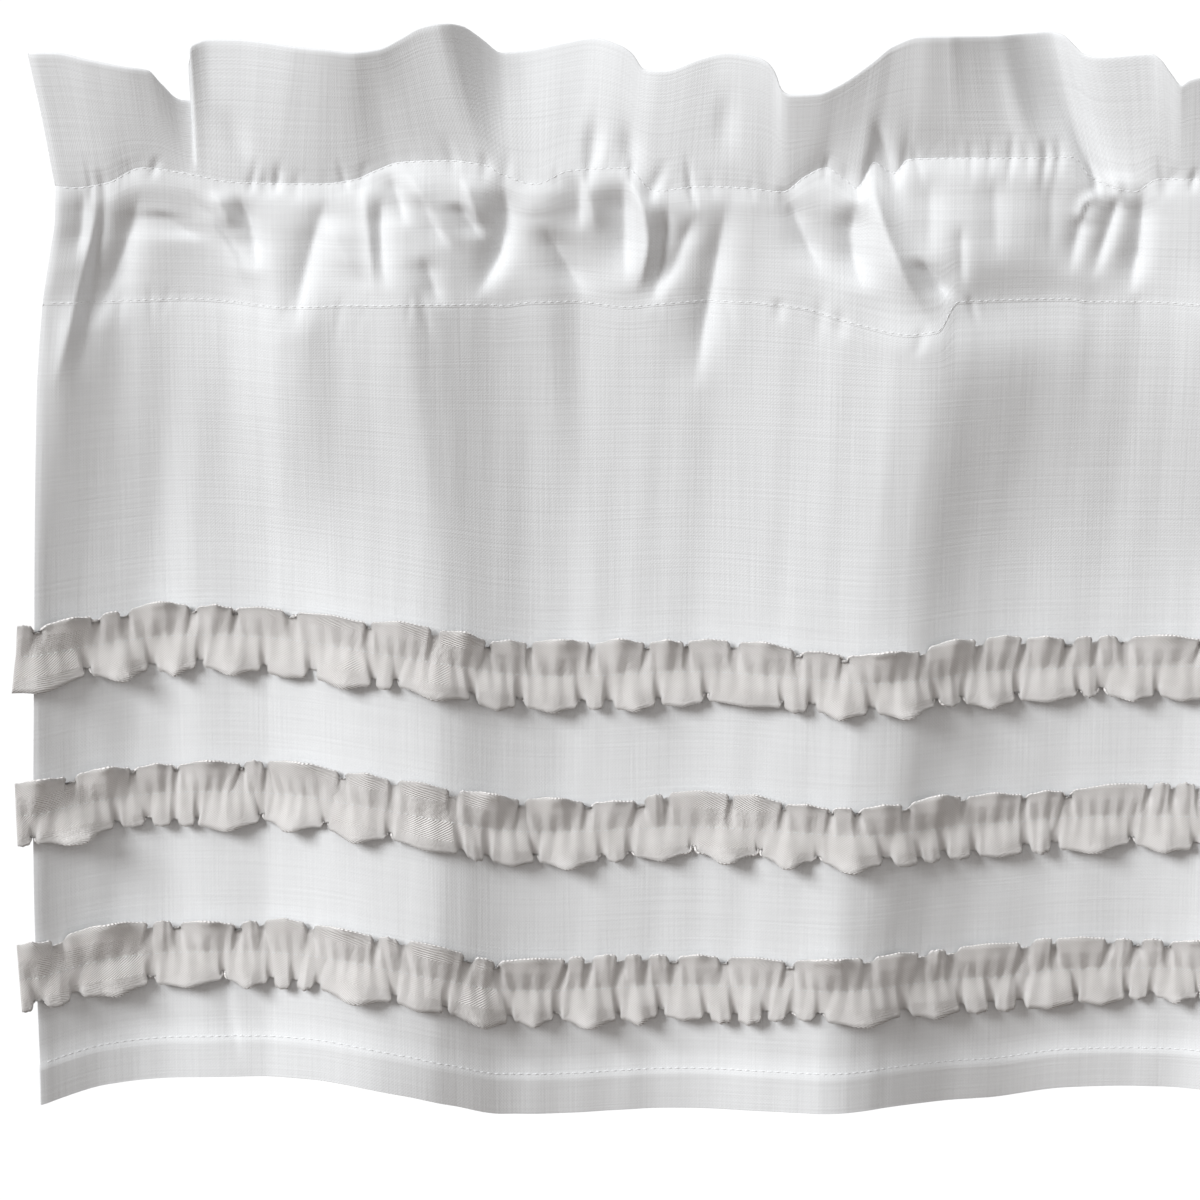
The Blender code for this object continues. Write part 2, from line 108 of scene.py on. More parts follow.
# Header: place along the seam, then across, forward and height of the free top edge
HEADER_EDGE = np.array((
    (0.0, 0.4, 11.0, -3.75),
    (11.0, 9.5, 12.2, -3.65),
    (23.0, 21.5, 13.8, -5.95),
    (37.0, 34.0, 14.3, -8.35),
    (46.0, 42.0, 12.8, -9.75),
    (51.0, 47.0, 10.0, -15.35),
    (55.5, 54.0, 6.4, -21.05),
    (57.0, 60.5, 5.6, -20.25),
    (58.0, 56.4, 8.6, -7.65),
    (59.0, 56.7, 9.6, -2.05),
    (61.0, 58.8, 8.4, -0.75),
    (64.0, 62.5, 7.4, 0.35),
    (71.0, 73.0, 9.0, 0.65),
    (80.0, 84.0, 12.4, -0.05),
    (89.0, 94.0, 15.8, -1.25),
    (100.0, 103.0, 17.2, -1.95),
    (117.0, 114.0, 17.4, -2.95),
    (127.0, 122.5, 15.8, -2.05),
    (137.0, 130.5, 13.8, 1.65),
    (147.0, 137.0, 13.0, 5.15),
    (153.0, 143.0, 12.6, 6.35),
    (157.0, 146.5, 11.0, 6.25),
    (161.0, 151.6, 5.6, 4.85),
    (164.5, 158.3, 0.4, -0.15),
    (168.0, 165.0, -1.8, -5.35),
    (175.0, 174.5, -2.8, -4.45),
    (184.0, 186.0, -2.4, -1.95),
    (195.0, 197.5, -1.0, 0.05),
    (204.0, 207.0, 1.6, -2.45),
    (208.0, 211.0, 2.6, -5.05),
    (213.0, 215.5, 3.9, -10.55),
    (219.0, 221.5, 5.2, -10.85),
    (232.0, 235.0, 6.4, -6.35),
    (243.0, 244.5, 8.0, -4.05),
    (254.0, 254.5, 10.8, -5.35),
    (258.0, 258.0, 12.0, -6.95),
    (261.5, 261.0, 12.8, -10.65),
    (264.0, 263.2, 13.3, -16.55),
    (267.0, 266.0, 13.8, -18.05),
    (274.0, 275.5, 14.6, -17.55),
    (280.0, 283.0, 15.2, -14.45),
    (288.5, 293.7, 16.0, -7.05),
    (298.0, 301.7, 16.6, -0.65),
    (311.0, 311.0, 17.4, 2.55),
    (324.0, 320.6, 17.0, 2.45),
    (332.0, 326.0, 14.6, 2.25),
    (348.0, 340.0, 7.6, 1.75),
    (361.0, 350.0, 2.2, 1.85),
    (370.0, 358.0, 0.2, 2.25),
    (374.0, 362.0, 1.6, 1.35),
    (377.0, 366.3, 3.4, -2.55),
    (379.5, 369.0, 4.6, -4.95),
    (384.0, 374.5, 6.6, -5.75),
    (394.0, 392.0, 9.0, -4.35),
    (398.0, 395.3, 10.2, -6.15),
    (401.5, 399.8, 11.2, -11.95),
    (404.0, 402.6, 11.6, -15.15),
    (406.5, 405.0, 11.6, -13.35),
    (411.0, 410.0, 11.4, -11.85),
    (430.0, 430.0, 15.0, -1.65),
    (448.0, 448.0, 16.0, 0.35),
    (462.0, 461.0, 8.0, -6.65),
    (472.0, 472.0, 3.0, -11.65),
    (488.0, 488.0, 5.0, -5.65),
    (504.0, 504.0, 11.0, -0.65),
    (520.0, 520.0, 8.0, 0.35),
))

# Rod pocket: down, forward, and the share that each layer takes of the folds at the pocket's foot
POCKET_FRONT = np.array((
    (46.0, 5.8, 0.05),
    (48.5, 6.1, 0.10),
    (53.0, 6.4, 0.20),
    (61.0, 6.0, 0.35),
    (70.0, 5.2, 0.50),
    (78.0, 4.0, 0.70),
    (86.0, 2.9, 0.90),
    (93.0, 2.1, 1.00),
))
POCKET_BACK = np.array((
    (46.0, 1.6, 0.05),
    (48.5, -6.0, 0.00),
    (53.0, -13.0, 0.00),
    (61.0, -16.5, 0.00),
    (70.0, -15.5, 0.10),
    (78.0, -12.0, 0.15),
    (86.0, -5.0, 0.55),
    (93.0, 0.6, 1.00),
))

# How far the skirt stands forward at the pocket's foot, and where that has died away
FOOT_BULGE = 2.1
FOOT_BULGE_END = 170.0

# How far the hem swings back at its edge: across, and how far. It starts at a place down, and
# the hem drops by a share of it
HEM_LEAN = np.array((
    (0.0, 0.0),
    (110.0, 1.0),
    (150.0, 8.0),
    (220.0, 10.0),
    (262.0, 4.0),
    (300.0, 1.0),
    (330.0, 8.0),
    (365.0, 12.0),
    (405.0, 11.5),
    (440.0, 4.0),
    (480.0, 2.0),
    (520.0, 8.0),
))
HEM_LEAN_FROM = 295.0
HEM_LEAN_DROP = 0.21

# Skirt folds, a row for each crest, trough or bend that runs down the cloth:
# across and forward at the pocket's foot, where the gathers end, and at the hem
SKIRT_FOLDS = np.array((
    (0.0, 5.0, 0.0, 4.4, 0.0, 6.4),
    (8.0, 4.5, 6.5, 0.6, 6.5, 1.6),
    (21.0, -0.2, 21.0, -5.6, 21.0, -6.0),
    (34.0, -3.0, 35.0, -9.6, 33.0, -9.8),
    (44.0, -3.2, 43.0, -10.3, 42.0, -10.3),
    (58.0, -2.6, 56.0, -9.0, 56.0, -9.4),
    (66.0, -1.2, 66.0, -9.1, 66.0, -8.6),
    (78.0, 4.2, 79.0, -8.0, 77.0, -8.0),
    (88.0, 8.6, 86.0, -6.2, 85.0, -6.0),
    (96.0, 9.6, 94.0, -4.0, 94.0, -3.4),
    (104.0, 8.8, 107.0, 0.2, 107.0, 0.7),
    (113.0, 9.6, 121.0, 3.6, 121.0, 3.8),
    (131.0, 12.2, 141.0, 6.0, 138.0, 5.4),
    (141.0, 9.8, 149.5, 4.6, 148.0, 3.2),
    (152.0, 6.4, 157.0, 2.2, 156.0, 0.3),
    (162.0, 3.8, 166.0, -0.3, 165.0, -2.9),
    (172.0, 2.4, 178.0, -2.9, 179.0, -5.5),
    (181.0, 1.9, 188.0, -3.5, 197.0, -7.6),
    (193.0, -0.8, 200.0, -2.8, 210.0, -8.5),
    (207.0, 0.2, 213.0, -2.9, 220.0, -9.0),
    (222.0, 1.2, 228.0, -3.2, 230.0, -8.4),
    (239.0, 1.0, 243.0, -2.0, 243.0, -7.2),
    (257.0, 2.4, 257.0, -0.4, 257.0, -5.2),
    (289.0, 7.5, 285.0, 3.6, 273.0, -2.6),
    (310.0, 11.3, 300.0, 4.8, 282.0, -1.6),
    (319.0, 12.0, 308.0, 4.1, 289.0, -2.6),
    (328.0, 11.0, 315.0, 2.2, 297.0, -5.6),
    (337.0, 9.0, 322.0, -0.6, 305.0, -9.5),
    (350.0, 5.5, 332.0, -4.7, 318.0, -14.0),
    (358.0, 4.0, 343.0, -7.8, 334.0, -17.8),
    (368.0, 2.8, 357.0, -9.5, 352.0, -20.0),
    (377.0, 1.2, 372.0, -10.6, 370.0, -21.0),
    (386.0, 1.0, 386.0, -11.3, 386.0, -20.5),
    (400.0, 2.6, 400.0, -11.3, 400.0, -19.0),
    (415.0, 6.0, 415.0, -10.3, 415.0, -16.5),
    (440.0, 9.0, 440.0, -2.0, 440.0, -8.0),
    (455.0, 4.0, 455.0, 4.0, 455.0, 0.0),
    (470.0, 6.0, 468.0, 8.0, 466.0, 6.0),
    (485.0, 8.0, 480.0, 7.0, 478.0, 6.0),
    (497.0, 1.0, 495.0, -2.0, 494.0, -3.0),
    (520.0, -3.0, 520.0, -9.0, 520.0, -10.0),
))

# Where the cloth hangs lower than level: across, and how far where the gathers end and at the hem
SAG = np.array((
    (0.0, -5.8, -0.8),
    (21.0, -7.6, -5.0),
    (57.0, -10.5, -6.9),
    (93.0, -8.9, -7.8),
    (128.0, -5.2, -3.6),
    (146.0, -2.5, 0.8),
    (164.0, 1.5, 6.0),
    (184.0, 3.6, 6.9),
    (236.0, 1.6, 5.3),
    (300.0, 4.8, 5.0),
    (343.0, 2.9, 4.8),
    (372.0, 2.6, 1.7),
    (415.0, 2.2, 0.3),
    (470.0, -1.0, 1.5),
    (520.0, 0.5, 0.0),
))

# How far lower than level the stitch lines wander, and how far up and down the cloth goes with
# them: across, at the header's seam, and at the pocket's foot
LINE_STRAY = np.array((
    (0.0, 4.5, 0.0),
    (8.0, 5.0, 0.0),
    (22.0, 3.6, 0.5),
    (39.0, -2.0, 0.0),
    (57.0, 0.4, -0.5),
    (70.0, 2.9, 0.0),
    (89.0, 3.6, 1.0),
    (102.0, 3.6, 0.5),
    (114.0, 2.0, 0.0),
    (121.0, -1.0, 0.0),
    (130.0, -4.0, -0.5),
    (145.0, -4.7, 0.0),
    (160.0, -2.9, 0.5),
    (165.0, 0.0, 1.0),
    (177.0, 3.6, 0.0),
    (189.0, -1.0, 0.0),
    (209.0, -2.0, 2.0),
    (219.0, 6.0, 1.0),
    (236.0, 4.5, 0.0),
    (250.0, 5.0, 0.0),
    (264.0, 6.5, 1.0),
    (272.0, 1.0, 2.0),
    (279.0, -2.0, 4.0),
    (286.0, 2.0, 6.0),
    (290.0, 5.0, 7.0),
    (296.0, -4.0, 8.5),
    (303.0, 0.0, 10.0),
    (308.0, -5.0, 10.5),
    (319.0, -5.5, 9.0),
    (326.0, -5.5, -1.0),
    (366.0, -5.7, -1.0),
    (373.0, 2.0, 0.0),
    (388.0, 6.5, 0.0),
    (396.0, 2.0, 0.0),
    (415.0, 2.0, 0.5),
    (440.0, -3.0, 0.0),
    (470.0, 3.0, 1.0),
    (495.0, -2.0, 0.0),
    (520.0, 1.0, 0.0),
))
STRAY_REACH = 15.0

# Creases and ridges of the gathers: down to the top and foot, across at the top, middle and foot,
# how wide to the left and to the right, and how far forward
PUCKERS = (
    (44.0, 125.0, 22.0, 16.5, 13.0, 4.0, 5.0, -5.0),
    (50.0, 104.0, 37.0, 27.0, 16.0, 6.0, 9.0, -7.0),
    (46.0, 130.0, 21.0, 15.0, 6.5, 4.0, 4.0, 4.0),
    (50.0, 80.0, 11.0, 10.0, 9.0, 5.0, 5.0, -4.0),
    (59.0, 71.0, 42.0, 49.0, 56.6, 6.0, 6.0, -3.0),
    (51.5, 89.0, 53.0, 69.0, 76.0, 4.0, 4.0, 3.0),
    (50.5, 82.0, 50.5, 64.8, 75.2, 5.0, 4.0, -3.5),
    (51.5, 66.6, 65.5, 69.0, 72.0, 3.5, 3.5, 3.0),
    (52.0, 82.0, 69.8, 75.5, 77.0, 3.5, 4.0, -6.0),
    (52.0, 105.0, 103.0, 95.0, 89.5, 4.0, 6.0, -6.0),
    (60.0, 85.0, 104.0, 111.0, 118.0, 8.0, 6.0, 3.0),
    (44.0, 93.0, 118.0, 120.3, 122.8, 3.0, 3.0, 3.0),
    (52.0, 88.0, 121.6, 121.0, 123.5, 3.0, 3.5, -5.0),
    (45.0, 66.0, 124.0, 127.5, 130.0, 3.0, 3.0, -4.0),
    (42.0, 74.5, 131.7, 142.0, 152.0, 3.5, 3.5, 3.0),
    (52.0, 73.0, 134.0, 139.0, 144.6, 3.0, 3.0, -3.0),
    (74.0, 94.0, 136.0, 139.0, 142.5, 3.0, 4.0, -3.0),
    (55.5, 70.0, 146.8, 152.0, 156.8, 3.0, 3.0, -4.0),
    (46.0, 66.0, 153.0, 156.5, 160.0, 3.0, 3.0, 3.0),
    (46.0, 93.0, 163.0, 164.0, 152.0, 4.0, 5.0, -8.0),
    (48.0, 64.0, 177.0, 177.0, 178.0, 9.0, 9.0, 1.5),
    (63.0, 92.0, 177.6, 185.0, 194.4, 4.0, 7.0, -5.0),
    (45.0, 68.0, 191.0, 191.0, 191.0, 3.0, 3.0, -3.0),
    (44.0, 69.0, 194.0, 198.0, 201.0, 4.0, 4.0, 3.0),
    (46.0, 88.0, 206.0, 207.0, 207.0, 6.0, 5.0, -8.0),
    (44.0, 91.0, 209.0, 218.0, 213.0, 4.0, 3.0, 6.0),
    (54.0, 97.0, 222.0, 220.5, 215.0, 3.0, 3.0, -5.0),
    (58.7, 93.0, 232.0, 225.5, 217.0, 4.0, 4.0, -4.0),
    (52.0, 128.0, 243.8, 237.0, 231.0, 4.0, 5.0, -6.0),
    (50.7, 84.0, 263.0, 269.4, 277.4, 4.0, 5.0, -6.0),
    (54.0, 89.0, 288.6, 287.0, 291.8, 4.0, 8.0, -9.0),
    (44.0, 100.0, 296.6, 304.0, 320.0, 9.0, 3.0, 8.0),
    (74.6, 92.0, 308.6, 315.8, 321.4, 3.0, 3.0, -4.5),
    (44.0, 80.0, 314.0, 314.0, 314.0, 6.0, 6.0, -3.0),
    (44.0, 80.0, 336.5, 337.0, 338.0, 6.0, 6.0, -3.0),
    (44.0, 80.0, 357.0, 357.0, 357.0, 6.0, 6.0, -3.0),
    (62.0, 88.0, 325.0, 325.5, 326.0, 2.0, 2.0, -2.0),
    (49.0, 84.0, 372.0, 367.0, 363.7, 4.0, 4.0, -5.0),
    (51.0, 66.0, 377.7, 371.0, 372.3, 3.0, 3.0, 4.0),
    (49.0, 86.0, 382.5, 377.0, 371.6, 3.0, 3.0, -4.5),
    (45.0, 60.0, 381.0, 383.5, 386.0, 3.0, 3.0, 3.0),
    (49.0, 92.0, 389.0, 388.4, 384.5, 3.5, 4.0, -7.0),
    (46.0, 98.0, 432.0, 430.0, 424.0, 6.0, 6.0, -5.0),
    (50.0, 90.0, 448.0, 449.0, 452.0, 3.0, 3.0, -4.0),
    (46.0, 96.0, 458.0, 462.0, 460.0, 6.0, 5.5, -5.0),
    (50.0, 88.0, 470.0, 472.0, 471.0, 3.5, 3.5, 3.0),
    (52.0, 84.0, 478.0, 476.0, 474.0, 3.0, 3.0, -4.0),
    (46.0, 96.0, 492.0, 496.0, 500.0, 6.0, 6.0, -5.0),
    (343.0, 386.0, 59.0, 63.0, 68.0, 2.5, 2.5, -1.8),
)

# Soft dents and swellings: across, down, how wide, how long, slant, and how far forward
DENTS = (
    (71.5, 33.0, 4.0, 9.0, 0.35, -1.5),
    (124.0, 25.0, 8.0, 20.0, 0.1, -1.3),
    (197.0, 37.0, 3.0, 8.0, 0.0, -2.0),
    (210.0, 36.0, 3.5, 9.0, 0.1, -2.0),
    (243.0, 26.0, 4.0, 10.0, 0.0, -1.2),
    (299.0, 38.0, 2.5, 9.0, 0.4, -2.0),
    (350.0, 22.0, 5.0, 20.0, 0.1, 1.6),
    (336.0, 67.0, 34.0, 11.0, 0.0, 1.0),
    (336.0, 92.0, 34.0, 13.0, 0.0, -4.4),
    (95.0, 145.0, 18.0, 40.0, 0.0, 2.8),
    (374.0, 32.0, 13.0, 24.0, 0.35, -5.0),
)

# How the table's creases and ridges are drawn: their depth, the widths of their lit and dark
# sides, how far the bottom is shifted, where they start and end, and how sharp they are
PUCKER_DEPTH = 0.72
LIT_SIDE = 0.8
DARK_SIDE = 1.7
PUCKER_SHIFT = 1.6
PUCKER_RISE = 0.34
PUCKER_FALL = 0.42
CREASE_SHARPNESS = 1.25

# Small tucks at the header's seam and at the pocket's lower stitch line: where the line lies, how
# far they reach above and below it, how far apart they are, and how deep
TUCK_LINES = (
    (46.0, 13.0, 11.0, 5.2, 1.0),
    (93.0, 9.0, 15.0, 8.5, 0.5),
)
TUCK_WIDTH = (1.0, 2.4)
TUCK_SLANT = 0.25
TUCK_LEAST = 0.12
TUCK_SPREAD = 1.5
TUCK_REACH = ((0.4, 1.1), (0.4, 1.2))
TUCK_APART = (0.55, 1.5)
TUCK_FIRST = 3.0
TUCK_SEED = 11

# Slow waves that the cloth keeps from washing: pitch, how far it strays, and how deep. They lean
# and come and go over multiples of that stray
WAVES = (
    (13.7, 46.0, 0.05),
    (23.0, 71.0, 0.11),
    (37.0, 97.0, 0.20),
)
WAVE_WANDER = 0.8
WAVE_WANDER_REACH = 3.1
WAVE_LEAN_REACH = 4.0
WAVE_FADE_REACH = 5.0
WAVE_FADE_PITCH = 210.0

# Gathers of the pocket's back layer
BACK_PITCH = 38.0
BACK_STRAY = 0.9
BACK_STRAY_PITCH = 173.0
BACK_WAVE = 2.4

# Tapes: their width, length and thickness, how far down each is sewn, and how far past the ends
TAPE_WIDTH = 30.0
TAPE_LENGTH = 1350.0
TAPE_THICK = 0.8
TAPE_ROWS = {"trim_upper": 225.0, "trim_middle": 282.0, "trim_lower": 341.0}
TAPE_OVERHANG = 6.5
TAPE_GATHER = (WIDTH + 2.0 * TAPE_OVERHANG) / TAPE_LENGTH
TAPE_COURSES = 6
TAPE_SEED = 21
UNEVEN_PITCH = 60.0
FINE_TAPE_STEP = 0.62
COARSE_TAPE_STEP = 1.15

# A ruffle's rounded lobes, some of them narrow, and the folds between them: how much tape each
# takes, how far it turns in radians, and how uneven a fold's two sides are
NARROW_SHARE = 0.30
NARROW_LOBE = (3.0, 6.0)
BROAD_LOBE = (11.0, 25.0)
LOBE_TURN = (0.15, 0.75)
FOLD_RUN = (3.6, 6.0)
FOLD_TURN = (1.3, 2.1)
FOLD_UNEVEN = (0.8, 1.2)
FOLD_ROUND = 1.3
RUFFLE_STEP = 0.5

# What is slower than these lengths is taken out of a ruffle, and how far it reaches and flips over
QUICK_STRAY = 20.0
SLOW_STRAY = 110.0
OUT_DRIFT = 22.0
OUT_LIMIT = 6.0
CREST_FROM = 1.6

# How the tape stands off the skirt: at its stitches, where they gather it, and at its free edges,
# which shrink unevenly and draw up where they are folded or hollow
SEWN_LIFT = 1.9
SEWN_GATHER = 0.22
GATHER_PITCH = (5.0, 8.0)
UPPER_LEAN = 3.0
LOWER_LEAN = 3.7
EDGE_FLIP = 1.6
FLIP_SHARPNESS = 5
LEAST_CLEAR = 0.15
LIFT_ROUND = 0.8
STRAY_ROUND = 0.8
LEAST_REACH = 0.55
EDGE_SHRINK = (-0.10, 0.12)
FOLD_LIFT = 0.08
HOLLOW_LIFT = 0.45

# Thread: how far apart the stitches are, how long and thick one is, how far it stands out, its
# sections along and round, and how far the pocket's stitches lie from its two ends
STITCH_PITCH = 2.9
STITCH_LENGTH = 2.0
THREAD_RADIUS = 0.17
THREAD_LIFT = 0.05
STITCH_SECTIONS = ((0.0, 0.4), (0.5, 1.0), (1.0, 0.4))
STITCH_RING = ((1.0, 0.0), (0.0, 1.0), (-1.0, 0.0), (0.0, -1.0))
SEAM_STITCH = SEAM + 0.4
FOOT_STITCH = POCKET_FOOT - 0.8

# Weave, in metres or in turns a metre: thread pitches, streaks, and how strong each is
THREAD_PITCHES = (0.00056, 0.00062)
WARP_STREAKS = (900.0, 22.0, 1.0)
WEFT_STREAKS = (19.0, 860.0, 1.0)
CLOTH_PATCHES = (26.0, 18.0, 1.0)
WEAVE_RELIEF = 0.16
SLUB_SHADE = 0.5
PATCH_SHADE = 0.35
CLOTH_DARKER = (0.40, (0.755, 0.765, 0.775, 1.0))
CLOTH_LIGHTER = (0.95, (0.85, 0.862, 0.872, 1.0))

# Twill, in the same units: how wide a stripe is, how its ribs slant and repeat, and their strength
STRIPE = 0.0075
RIB_SLANT = 1.6
RIB_PITCH = 0.00135
TAPE_THREADS = (620.0, 620.0, 1.0)
TAPE_PATCHES = (40.0, 70.0, 1.0)
RIB_RELIEF = 0.35
RIB_SHADE = 0.20
TAPE_DARKER = (0.25, (0.75, 0.725, 0.705, 1.0))
TAPE_LIGHTER = (0.75, (0.90, 0.88, 0.865, 1.0))

THREAD_COLOUR = (0.84, 0.845, 0.85, 1.0)
FLOOR_COLOUR = (0.99, 0.99, 0.99, 1.0)

# Floor: how far it reaches and how low it lies, in metres
FLOOR_REACH = 40.0
FLOOR_LEVEL = -0.62

# Light: the sky's colours below and above, and between which slopes they mix, then the sun
SKY_BELOW = (0.17, 0.14, 0.12, 1.0)
SKY_ABOVE = (0.74, 0.74, 0.74, 1.0)
SKY_MIX = (-0.6, 0.8)
SUN = 2.75
SUN_TOWARDS = (0.80, 0.60, -0.55)
SUN_SOFTNESS = 25.0
SUN_COLOUR = (0.97, 0.985, 1.0)

# Camera: how many degrees up it stands, how far off, how wide a frame it sees there, and at what
# place from the left end and from the top it looks, in metres
ELEVATION = 12.0
DISTANCE = 2.0
FRAME_WIDTH = 0.4296
AIM_ACROSS = 0.1998
AIM_DOWN = 0.2006
SENSOR = 36.0


def ease(share):
    """0 to 1 with a level start and end."""
    share = np.clip(share, 0.0, 1.0)
    return share * share * (3.0 - 2.0 * share)


def smooth(at, knots, values):
    """A soft curve through the knots that never overshoots them and ends level."""
    step = np.diff(knots)
    slope = np.diff(values) / step
    before, after = slope[:-1], slope[1:]
    same_way = before * after > 0.0
    tangent = np.zeros(len(knots))
    tangent[0] = slope[0]
    tangent[1:-1] = np.divide(2.0 * before * after, before + after,
                              out=np.zeros(len(before)), where=same_way)
    cell = np.clip(np.searchsorted(knots, at, side="right") - 1, 0, len(knots) - 2)
    share = np.clip((at - knots[cell]) / step[cell], 0.0, 1.0)
    rise = ease(share)
    lead = share * (1.0 - share) ** 2 * step[cell] * tangent[cell]
    trail = share * share * (share - 1.0) * step[cell] * tangent[cell + 1]
    return values[cell] * (1.0 - rise) + values[cell + 1] * rise + lead + trail


def left_half(across):
    """The place in the left half whose folds stand here, and which side this is (1 or -1)."""
    side = np.where(across > WIDTH / 2, -1.0, 1.0)
    mirrored = WIDTH - across
    mirrored = mirrored + RIGHT_STRAY * np.sin(TURN * mirrored / WIDTH)
    return np.where(side > 0, across, mirrored), side


def fold_depth(across, down):
    """Forward reach of the skirt's folds at one level."""
    pocket, middle, hem = SKIRT_FOLDS[:, 0:2], SKIRT_FOLDS[:, 2:4], SKIRT_FOLDS[:, 4:6]
    if down < GATHERS_END:
        share = ease((down - POCKET_FOOT) / (GATHERS_END - POCKET_FOOT))
        level = pocket * (1.0 - share) + middle * share
    else:
        share = ease((down - GATHERS_END) / (DROP - GATHERS_END))
        level = middle * (1.0 - share) + hem * share
    return smooth(across, level[:, 0], level[:, 1])


def pucker_depth(across, down):
    """Forward reach of the gathers' creases and ridges, with a height for each place."""
    depth = np.zeros(len(across))
    for top, foot, at_top, at_middle, at_foot, left, right, forward in PUCKERS:
        share = (down - top) / (foot - top)
        if np.all(share <= 0.0) or np.all(share >= 1.0):
            continue
        path = (at_top * (1.0 - share) * (1.0 - 2.0 * share) + at_middle * 4.0 * share * (1.0 - share)
                + at_foot * share * (2.0 * share - 1.0))
        offset = across - path
        if forward > 0.0:
            reach = np.where(offset < -PUCKER_SHIFT, LIT_SIDE * left, DARK_SIDE * right)
            offset = offset + PUCKER_SHIFT
        else:
            reach = np.where(offset < PUCKER_SHIFT, DARK_SIDE * left, LIT_SIDE * right)
            offset = offset - PUCKER_SHIFT
        strength = PUCKER_DEPTH * ease(share / PUCKER_RISE) * ease((1.0 - share) / PUCKER_FALL)
        depth += forward * strength * np.exp(-np.abs(offset / reach) ** CREASE_SHARPNESS)
    for middle, level, wide, long, slant, forward in DENTS:
        offset = (across - middle - slant * (down - level)) / wide
        depth += forward * np.exp(-offset ** 2 - ((down - level) / long) ** 2)
    return depth


def make_tucks():
    """The small tucks: middle, slant, width, depth, line, and reach above and below."""
    chance = np.random.default_rng(TUCK_SEED)
    tucks = []
    for line, above, below, pitch, depth in TUCK_LINES:
        place = TUCK_FIRST
        while place < WIDTH - TUCK_FIRST:
            unevenness = TUCK_LEAST + TUCK_SPREAD * chance.random() ** 3
            tucks.append((place, chance.normal(0.0, TUCK_SLANT), chance.uniform(*TUCK_WIDTH),
                          -depth * unevenness, line,
                          above * chance.uniform(*TUCK_REACH[0]), below * chance.uniform(*TUCK_REACH[1])))
            place += pitch * chance.uniform(*TUCK_APART)
    return np.array(tucks)


TUCKS = make_tucks()


def tuck_depth(across, down):
    """Forward reach of the small tucks at one level."""
    depth = np.zeros(len(across))
    for place, slant, width, deep, line, above, below in TUCKS:
        offset = down - line
        reach = below if offset > 0.0 else above
        strength = ease(1.0 - abs(offset) / reach)
        if strength > 0.0:
            depth += deep * strength * np.exp(-((across - place - slant * offset) / width) ** 2)
    return depth


def wave_depth(across, down):
    """Forward reach of the slow waves at one level."""
    depth = np.zeros(len(across))
    for pitch, stray, deep in WAVES:
        turn = across / pitch + WAVE_WANDER * np.sin(TURN * across / stray / WAVE_WANDER_REACH)
        turn = turn + down / (stray * WAVE_LEAN_REACH)
        fade = np.cos(TURN * (down / (stray * WAVE_FADE_REACH) + across / WAVE_FADE_PITCH))
        depth += deep * np.sin(TURN * turn) * fade
    return depth


def end_roll(across):
    """How far the side hems roll back."""
    from_end = np.minimum(across, WIDTH - across)
    return END_ROLL * np.clip(1.0 - from_end / END_ROLL_WIDTH, 0.0, 1.0) ** 2


def back_gathers(across, down):
    """Forward reach of the waves in the pocket's back layer at one level."""
    turn = across / BACK_PITCH + BACK_STRAY * np.sin(TURN * across / BACK_STRAY_PITCH)
    strength = np.sin(np.pi * (down - SEAM) / (POCKET_FOOT - SEAM))
    return BACK_WAVE * strength * np.sin(TURN * turn)


def line_stray(place, down):
    """How much lower than level the cloth lies near the stitch lines."""
    near_seam, near_foot = (math.exp(-((down - line) / STRAY_REACH) ** 2)
                            for line in (SEAM, POCKET_FOOT))
    seam, foot = (smooth(place, LINE_STRAY[:, 0], LINE_STRAY[:, column]) for column in (1, 2))
    return seam * near_seam + foot * near_foot


def drawn_in(place, down):
    """How far the cloth's end moves inwards at one level."""
    distance = smooth(np.array([down]), END_DRAW[:, 0], END_DRAW[:, 1])[0]
    return distance * np.clip(1.0 - place / END_FADE, 0.0, 1.0)


def header_point(across, down):
    """The header's front face: across, forward and height."""
    place, side = left_half(across)
    up = 1.0 - down / SEAM
    edge = [smooth(place, HEADER_EDGE[:, 0], HEADER_EDGE[:, column]) for column in (1, 2, 3)]
    seam_forward = POCKET_FRONT[0, 1] + POCKET_FRONT[0, 2] * fold_depth(place, POCKET_FOOT)
    shift = (edge[0] - place) * up + drawn_in(place, SEAM) * (1.0 - up)
    lower = line_stray(place, down)
    forward = seam_forward * (1.0 - up) + edge[1] * up + pucker_depth(place, down + lower)
    forward += tuck_depth(across, down) + wave_depth(across, down) - end_roll(across)
    return across + side * shift, forward, -SEAM + (SEAM + edge[2]) * up - lower


def pocket_point(across, down, layer):
    """One layer of the rod pocket at one level."""
    place, side = left_half(across)
    level = np.array([down])
    forward = smooth(level, layer[:, 0], layer[:, 1])[0]
    share = smooth(level, layer[:, 0], layer[:, 2])[0]
    depth = forward + share * fold_depth(place, POCKET_FOOT)
    lower = line_stray(place, down)
    if layer is POCKET_FRONT:
        depth = depth + pucker_depth(place, down + lower)
        depth = depth + tuck_depth(across, down) + wave_depth(across, down) - end_roll(across)
    else:
        depth = depth + back_gathers(across, down) + tuck_depth(WIDTH - across, down)
        depth = depth + share * np.minimum(pucker_depth(place, down + lower), 0.0)
        depth = depth + end_roll(across)
    return across + side * drawn_in(place, down), depth, -down - lower


